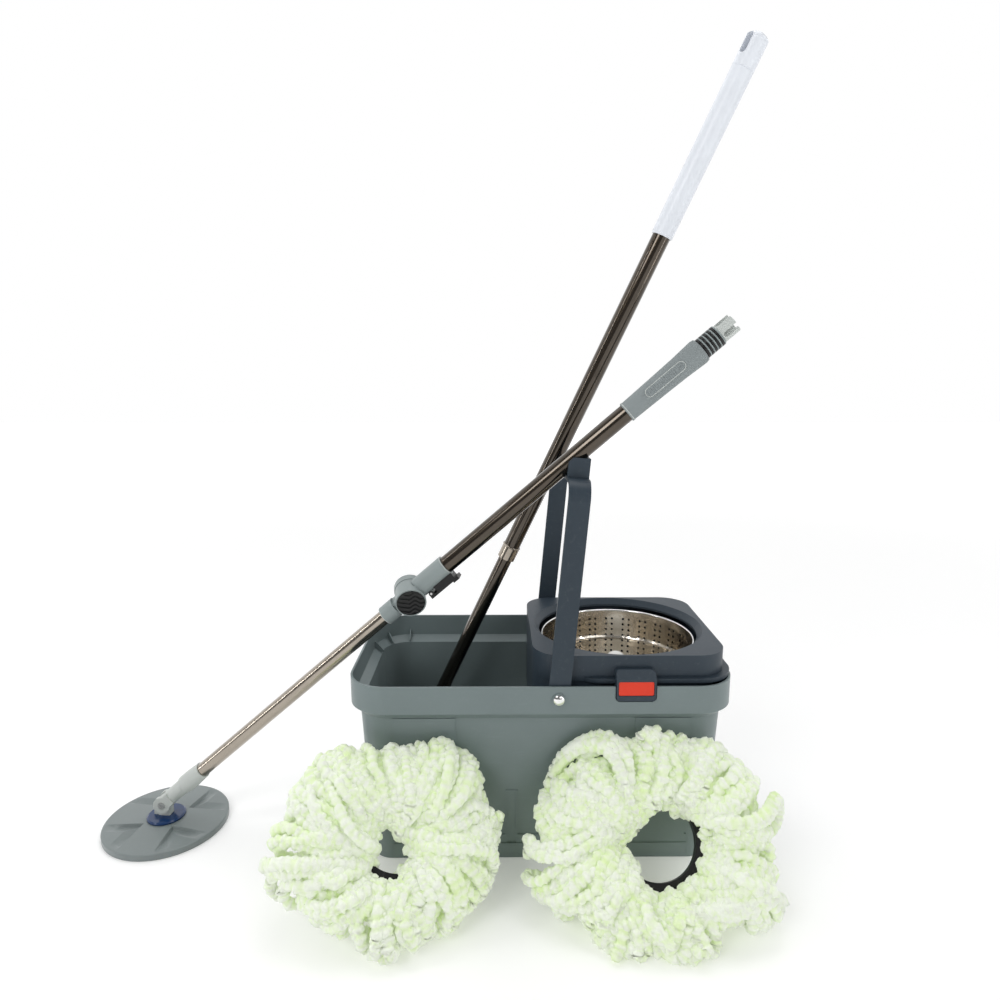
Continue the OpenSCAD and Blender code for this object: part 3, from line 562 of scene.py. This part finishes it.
def makeRings(pole, looks, s):
    for name, (node, end, offset, over, thick, slot) in looks.items():
        radius = pole.span(over[0])[2] + over[1] * mm
        tubeRing(pole, pole.span(node)[end] + offset * mm, radius, thick * mm, name, bodyOf[node], slot)
    low, _, radius = pole.span("lp_ribbed_collar")
    for k in range(s["count"]):
        tubeRing(pole, low + (s["first"] + s["pitch"] * k) * mm, radius - s["inset"] * mm, s["thick"] * mm,
                 f"collarRing{k + 1}", bodyOf["lp_ribbed_collar"], "joint_grey")


def makeInlay(pole, s):
    # a bright line round the stadium on the grip, and fine ribs across it
    low, high, _ = pole.span("lp_grip")
    tubeRadius = pole.span("lp_outer_tube")[2]
    middle = low + s["share"] * (high - low)
    turn = math.radians(s["turn"])
    depth = -tubeRadius - s["rise"] * mm

    def onGrip(x, y, z):
        return pole.place(x * math.cos(turn) - y * math.sin(turn), x * math.sin(turn) + y * math.cos(turn), middle + z)

    straight, wide = (s["half"] - s["wide"]) * mm, s["wide"] * mm
    half = np.linspace(0, math.pi, 13)
    x = np.concatenate([wide * np.cos(half), -wide * np.cos(half)])
    z = np.concatenate([straight + wide * np.sin(half), -straight - wide * np.sin(half)])
    edge, cols = s["edge"] * mm, len(x)
    bead = np.linspace(0, 2 * math.pi, 9)[:, None]
    out = np.stack([np.concatenate([np.cos(half), -np.cos(half)]), np.concatenate([np.sin(half), -np.sin(half)])])
    points = onGrip(x + edge * np.cos(bead) * out[0], depth + edge * np.sin(bead) + 0 * x,
                    z + edge * np.cos(bead) * out[1])
    rim = newPiece("gripInlayEdge", points.reshape(-1, 3), gridFaces(9, cols, True), paints["pale_plastic"],
                   bodyOf["lp_grip"])
    weld(rim, 0.005 * mm)
    u = np.linspace(-1, 1, 9)[None, :, None]
    v = np.linspace(0, math.pi, 7)[None, None, :]
    at = np.linspace(-1, 1, s["ribs"])[:, None, None] * (straight + 2.2 * mm)
    reach = (wide - s["margin"] * mm) * np.sqrt(np.clip(1 - (np.maximum(np.abs(at) - straight, 0) / wide) ** 2, 0, 1))
    rib = s["rib"] * mm * np.sqrt(np.clip(1.02 - u ** 2, 0, 1))
    points = onGrip(reach * u + 0 * v, depth - 1.4 * rib * np.sin(v) + 0 * at, at + rib * np.cos(v))
    cell = gridFaces(9, 7, False)
    faces = (cell[None] + (np.arange(s["ribs"]) * 63)[:, None, None]).reshape(-1, 4)
    newPiece("gripInlayRibs", points.reshape(-1, 3), faces, paints["grip_rubber"], bodyOf["lp_grip"])


bodyOf = {n: body for body, nodes in record["behaviour"]["bodies"].items() for n in nodes}
lowerPole = Pole(jointOf["head_tilt"]["pos_m"], lowerAxis, jointOf["head_tilt"]["axis"])
makeRings(lowerPole, ringLook, ribSet)
makeInlay(lowerPole, inlaySet)
print("pole details made")


# ---- knuckle cap ----
# heights, wave lengths and widths in mm
capSet = {"height": 0.55, "period": 6.2, "wander": 1.9, "wave": 3.4, "ripple": 0.9, "rippleWave": 1.9, "rim": 1.6,
          "rimFall": 0.35, "sunk": 0.25, "rows": 60, "cols": 144}


def makeCap(s):
    # a shallow dish with wandering ridges across it, replacing the plain button
    out = -np.array(jointOf["knuckle_press"]["axis"], float)
    across = np.cross(out, (0, 0, 1.0))
    across /= np.linalg.norm(across)
    upward = np.cross(across, out)
    points = cadPoints("knuckle_button")
    centre = (points.min(0) + points.max(0)) / 2
    depth = (points - centre) @ out
    radius = np.linalg.norm(points - centre - depth[:, None] * out, axis=1).max()
    a = np.linspace(0, 2 * math.pi, s["cols"], endpoint=False)[None, :]
    r = np.linspace(0, 1, s["rows"])[:, None] * radius
    x, y = r * np.cos(a), r * np.sin(a)
    phase = y / mm + s["wander"] * np.sin(x / mm / s["wave"]) + s["ripple"] * np.sin(x / mm / s["rippleWave"] + 1)
    fade = np.clip((radius - r) / (s["rim"] * mm), 0, 1)
    ridge = s["height"] * 0.5 * fade * (np.abs(np.sin(math.pi * phase / s["period"])) * 2 - 1)
    height = depth.max() + (-s["rimFall"] * (1 - fade) ** 2 - s["sunk"] + ridge) * mm
    side = np.repeat([[depth.min()]], s["cols"], 1)
    x = np.concatenate([x, x[-1:], 0 * x[:1]])
    y = np.concatenate([y, y[-1:], 0 * y[:1]])
    height = np.concatenate([height, side, side])
    ring = centre + x[..., None] * across + y[..., None] * upward + height[..., None] * out
    piece = newPiece("knuckleCapRidges", ring.reshape(-1, 3), gridFaces(s["rows"] + 2, s["cols"], True),
                     paints["black"], bodyOf["knuckle_button"])
    weld(piece, 0.004 * mm)
    piece.data.set_sharp_from_angle(angle=math.radians(50))
    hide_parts("knuckle_button")


makeCap(capSet)


# ---- mop disc ----
# lengths in mm, turn in degrees
discSet = {"chevrons": 4, "turn": -47, "start": 29.0, "reach": 40.0, "half": 34.0, "deep": 4.6, "wall": 3.4,
           "run": 21.0, "tipTaper": 1.7, "rimClear": 3, "rimTaper": 8, "rows": 100, "cols": 620, "edge": 8.0,
           "round": 1.6, "crown": 3.4, "plate": 28.0, "bore": 12.1, "skirt": 2.5, "foot": 0.1, "ceiling": 3.2}


def makeDisc(s):
    # a low cone with a rounded edge; each chevron is a pair of steep legs with floors that climb back outwards
    low, high = boxOf("mop_disc")
    centre, radius = (low + high) / 2 / mm, (high[0] - low[0]) / 2 / mm
    turn = math.atan2(lowerAxis[1], lowerAxis[0]) + math.radians(s["turn"])
    a = np.linspace(0, 2 * math.pi, s["cols"], endpoint=False)[None, :]
    r = np.linspace(s["bore"], radius - s["round"], s["rows"])[:, None]
    top = s["edge"] + s["crown"] * np.clip((radius - r) / (radius - s["plate"]), 0, 1)
    away = (a + math.pi / s["chevrons"]) % (2 * math.pi / s["chevrons"]) - math.pi / s["chevrons"]
    u, v = r * np.cos(away) - s["start"], np.abs(r * np.sin(away))
    leg = u - v * s["reach"] / s["half"]
    fall = np.clip(leg / s["wall"], 0, 1) * np.clip(1 - (leg - s["wall"]) / s["run"], 0, 1)
    taper = np.clip((1 - v / s["half"]) * s["tipTaper"], 0, 1)
    taper = taper * np.clip((radius - s["rimClear"] - r) / s["rimTaper"], 0, 1)
    z = top - np.where(u > 0, s["deep"] * fall * taper, 0)
    bend = np.linspace(0, math.pi / 2, 6)[1:, None]
    skirtIn = radius - s["skirt"]
    under = [[radius], [skirtIn], [skirtIn], [s["bore"]]]
    underZ = [[s["foot"]], [s["foot"]], [s["ceiling"]], [s["ceiling"]]]
    rim = np.concatenate([radius - s["round"] + s["round"] * np.sin(bend), under])
    rimZ = np.concatenate([s["edge"] - s["round"] + s["round"] * np.cos(bend), underZ])
    r = np.concatenate([r, rim]) + 0 * a
    z = np.concatenate([z, rimZ + 0 * a])
    points = np.stack([centre[0] + r * np.cos(a + turn), centre[1] + r * np.sin(a + turn), low[2] / mm + z], -1)
    piece = newPiece("discFaceted", points.reshape(-1, 3) * mm, gridFaces(len(r), s["cols"], True),
                     paints["disc_grey"], bodyOf["mop_disc"])
    piece.data.set_sharp_from_angle(angle=math.radians(9))
    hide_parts("mop_disc")


makeDisc(discSet)
print("knuckle cap and disc made")


# ---- chenille refills ----
refillSet = {
    # lean and turn of the ring and how far strands reach to its right, top, left and bottom (degrees, mm);
    # hang is (side, half width, depth) of the strands that fall back into the hole, sides counted from the right
    "a": {"lean": 50, "turn": 10, "seed": 11, "outer": (128, 98, 146, 120), "rise": 31,
          "hang": ((78, 80, 55), (340, 46, 44), (168, 34, 30))},
    "b": {"lean": 54, "turn": -4, "seed": 5, "outer": (150, 130, 148, 128), "rise": 38,
          "hang": ((128, 50, 26), (222, 22, 18))},
}
# lengths in mm; layers is (strands, size) from the outside in; soft is how gently strands meet the floor and the wall,
# bedSpread and wallSpread how unevenly they pile up there
strandSet = {"radius": 5.9, "inner": 58, "ring": 62, "sides": 9, "rings": 88, "lump": 8.5,
             "layers": ((112, 1.0), (104, 0.80), (74, 0.52)), "clumps": 14, "clumpWidth": 0.62, "dome": 0.24,
             "soft": 7.0, "bedSpread": 17, "wallSpread": 10, "wallLean": 12 / 209, "wallFront": -110 - 2.6,
             "floorGap": 0.4}
# how much bulges, fuzz and lobes swell a strand, and how much each one of them adds painted shade (lime) to its
# valleys
strandKnobs = {"bulge": 0.17, "fuzz": 0.13, "lobes": 0.08, "endTaper": 16,
               "crease": {"base": 0.45, "bulge": 0.35, "fuzz": 0.30, "size": 0.35}}


def strandField(r, s, layer, count, size):
    # centre lines: bundles of strands run round the tube of a lumpy ring, from its hole over its face to underneath
    rng = np.random.default_rng(r["seed"] * 10 + layer)
    bundle = np.random.default_rng(r["seed"] * 3 + layer)
    pitch = 2 * math.pi / s["clumps"]
    middles = (np.arange(s["clumps"]) + bundle.uniform(-0.34, 0.34, s["clumps"])) * pitch + 0.5 * layer

    def perClump(low, high):
        return bundle.uniform(low, high, s["clumps"])[clump]

    t = np.linspace(0, 1, s["rings"])[None, :]
    clump = np.arange(count) % s["clumps"]
    off = rng.uniform(-1, 1, count)
    base = middles[clump] + off * pitch * s["clumpWidth"]
    degrees = np.degrees(base) % 360
    outer = np.interp(degrees, (0, 90, 180, 270, 360), (*r["outer"], r["outer"][0]))
    hang = np.zeros(count)
    for side, width, depth in r["hang"]:
        away = (degrees - side + 180) % 360 - 180
        hang = np.maximum(hang, depth * np.exp(-(away / width) ** 2))
    dome = 1 - s["dome"] * off ** 2
    innerEdge = s["inner"] - hang + rng.uniform(-5, 5, count)
    outerEdge = s["ring"] + (outer - s["ring"]) * size * perClump(0.80, 1.12) * dome + rng.uniform(-5, 3, count)
    middle, reach = (innerEdge + outerEdge) / 2, (outerEdge - innerEdge) / 2
    rise = r["rise"] * size * perClump(0.68, 1.30) * dome + rng.uniform(-3, 3, count)
    start = np.radians(rng.uniform(184, 210, count))
    stop = np.radians(rng.uniform(-62, -22, count))
    angle = start[:, None] + (stop - start)[:, None] * t
    swirl = (perClump(-0.75, 0.75) + rng.uniform(-0.22, 0.22, count))[:, None] * (t - 0.28)
    bend = perClump(-0.24, 0.24)[:, None] * np.sin(2 * math.pi * t + perClump(0, 6)[:, None])
    wave = np.zeros((2, count, s["rings"]))
    for k in (1, 2, 3, 5):
        phase, strength = rng.uniform(0, 2 * math.pi, (2, count, 1)), rng.normal(0, 1, (2, count, 1))
        wave += strength * np.sin(2 * math.pi * k * t + phase) / k
    across = middle[:, None] + reach[:, None] * np.cos(angle) + 1.8 * wave[1]
    up = 3 + rise[:, None] * np.sin(angle) + 3.4 * wave[0]
    around = base[:, None] + swirl + bend + 4.2 * wave[1] / np.maximum(across, 30)
    return around, across, up, off, rng


def placeStrands(r, s, centre, around, across, up, rng):
    # from the ring's own frame to the room, then kept above the floor and in front of the bucket's sloping wall
    lean, turn = math.radians(r["lean"]), math.radians(r["turn"])
    x, y, z = across * np.cos(around), across * np.sin(around), up
    y, z = y * math.cos(lean) - z * math.sin(lean), y * math.sin(lean) + z * math.cos(lean)
    x, y = x * math.cos(turn) - y * math.sin(turn), x * math.sin(turn) + y * math.cos(turn)
    x, y, z = x + centre[0] / mm, y + centre[1] / mm, z + centre[2] / mm
    count = len(x)
    bed = s["radius"] + rng.uniform(0, s["bedSpread"], count)[:, None]
    soft = s["soft"]
    lift = np.logaddexp(0, (z - bed) / soft) * soft
    z = bed + lift - np.minimum(soft * math.log(2), bed - s["radius"])
    wall = s["wallFront"] - s["wallLean"] * z - s["radius"] - 1 - rng.uniform(0, s["wallSpread"], count)[:, None]
    y = wall - np.logaddexp(0, (wall - y) / soft) * soft
    return np.stack([x, y, z], -1)


def sweep(line, s, knobs, rng):
    # a knobbly tube round each centre line; crease says how deep in a valley each point is, and so how much painted
    # shade it gets
    count, rings = line.shape[:2]
    tangent = np.gradient(line, axis=1)
    tangent /= np.linalg.norm(tangent, axis=2, keepdims=True)
    helper = np.where(np.abs(tangent[..., 2:3]) < 0.9, [[[0, 0, 1.0]]], [[[1.0, 0, 0]]])
    sideways = np.cross(tangent, helper)
    sideways /= np.linalg.norm(sideways, axis=2, keepdims=True)
    upward = np.cross(sideways, tangent)
    length = np.cumsum(np.linalg.norm(np.diff(line, axis=1, prepend=line[:, :1]), axis=2), axis=1)
    turn = np.linspace(0, 2 * math.pi, s["sides"], endpoint=False)
    twist = rng.uniform(-0.12, 0.12, (count, 1)) * length
    phase = rng.uniform(0, 2 * math.pi, (count, 1))
    bulge = np.sin(2 * math.pi * length / (s["lump"] * rng.uniform(0.8, 1.3, (count, 1))) + phase)
    fuzz = rng.normal(0, 1, (count, rings, s["sides"]))
    fuzz = (fuzz + np.roll(fuzz, 1, 2) + np.roll(fuzz, 1, 1)) / 1.7
    side = turn[None, None, :] + twist[..., None]
    lobes = np.sin(3 * side + phase[..., None])
    swell = 1 + knobs["bulge"] * bulge[..., None] + knobs["fuzz"] * fuzz + knobs["lobes"] * lobes
    share = np.linspace(0, 1, rings)[None, :, None]
    ends = np.sqrt(np.clip(np.minimum(share, 1 - share) * knobs["endTaper"], 0, 1))
    size = s["radius"] * rng.uniform(0.86, 1.12, (count, 1, 1)) * swell * ends
    outward = np.cos(side)[..., None] * sideways[:, :, None] + np.sin(side)[..., None] * upward[:, :, None]
    ring = line[:, :, None] + size[..., None] * outward
    deep = knobs["crease"]
    lit = deep["bulge"] * bulge[..., None]
    crease = np.clip(deep["base"] - lit - deep["fuzz"] * fuzz - deep["size"] * (size / s["radius"] - 1), 0, 1)
    return ring, crease


def makeRefill(letter, r, s, knobs):
    centre = centreOf("ring_" + letter)
    for layer, (count, size) in enumerate(s["layers"]):
        around, across, up, off, rng = strandField(r, s, layer, count, size)
        line = placeStrands(r, s, centre, around, across, up, rng)
        ring, crease = sweep(line, s, knobs, rng)
        ring[..., 2] = np.maximum(ring[..., 2], s["floorGap"])
        tube = gridFaces(s["rings"], s["sides"], True)
        faces = (tube[None] + (np.arange(count) * s["rings"] * s["sides"])[:, None, None]).reshape(-1, 4)
        piece = newPiece(f"strands_{letter}_{layer + 1}", ring.reshape(-1, 3) * mm, faces, paints["chenille"],
                         "refill_" + letter)
        # painted shade: strands at the sides of a clump and on the deeper layers get more lime tint; the rest of the
        # tint is random per strand
        edge = 0.45 * np.abs(off[:, None, None]) ** 3 + 0.28 * layer
        tint = np.broadcast_to(np.clip(rng.normal(0.25, 0.25, (count, 1, 1)) + edge, 0, 1), crease.shape)
        for field, values in (("crease", crease), ("tint", tint)):
            attribute = piece.data.attributes.new(field, "FLOAT", "POINT")
            attribute.data.foreach_set("value", np.ascontiguousarray(values, np.float32).ravel())
        weld(piece, 0.002 * mm)
        if layer == 0:
            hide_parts("strands_" + letter)


for refillLetter, refillFacts in refillSet.items():
    makeRefill(refillLetter, refillFacts, strandSet, strandKnobs)
print("refills made")
